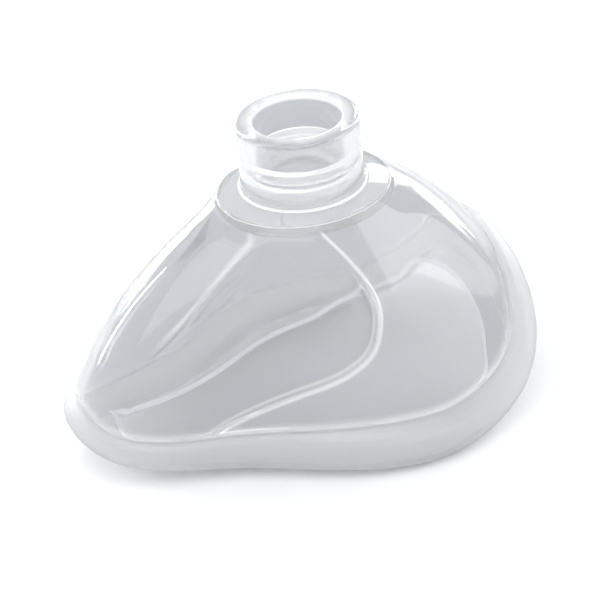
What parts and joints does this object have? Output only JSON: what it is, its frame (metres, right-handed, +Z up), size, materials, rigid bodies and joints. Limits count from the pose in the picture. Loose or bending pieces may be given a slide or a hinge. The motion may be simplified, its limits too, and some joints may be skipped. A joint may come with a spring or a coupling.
{
  "type": "resuscitation face mask",
  "caption": "Face mask of a bag valve mask: clear domed shell with finger scoops, 22 mm port on a round shoulder, frosted rolled cushion rim and thin face lip.",
  "frame": {"origin": "middle of the footprint on the surface that the rim stands on", "axes": "+Z up along the port axis, +X from the nose end to the chin end, +Y to the wearer's side"},
  "size_m": [0.1216, 0.091, 0.082],
  "materials": {
    "clear_silicone": "gloss",
    "frosted_silicone": "matte",
    "lip_silicone": "satin"
  },
  "bodies": {
    "root": {"port_collar": "clear_silicone", "shoulder": "clear_silicone", "dome_shell": "clear_silicone", "cushion_rim": "frosted_silicone", "face_lip": "lip_silicone"}
  },
  "joints": []
}
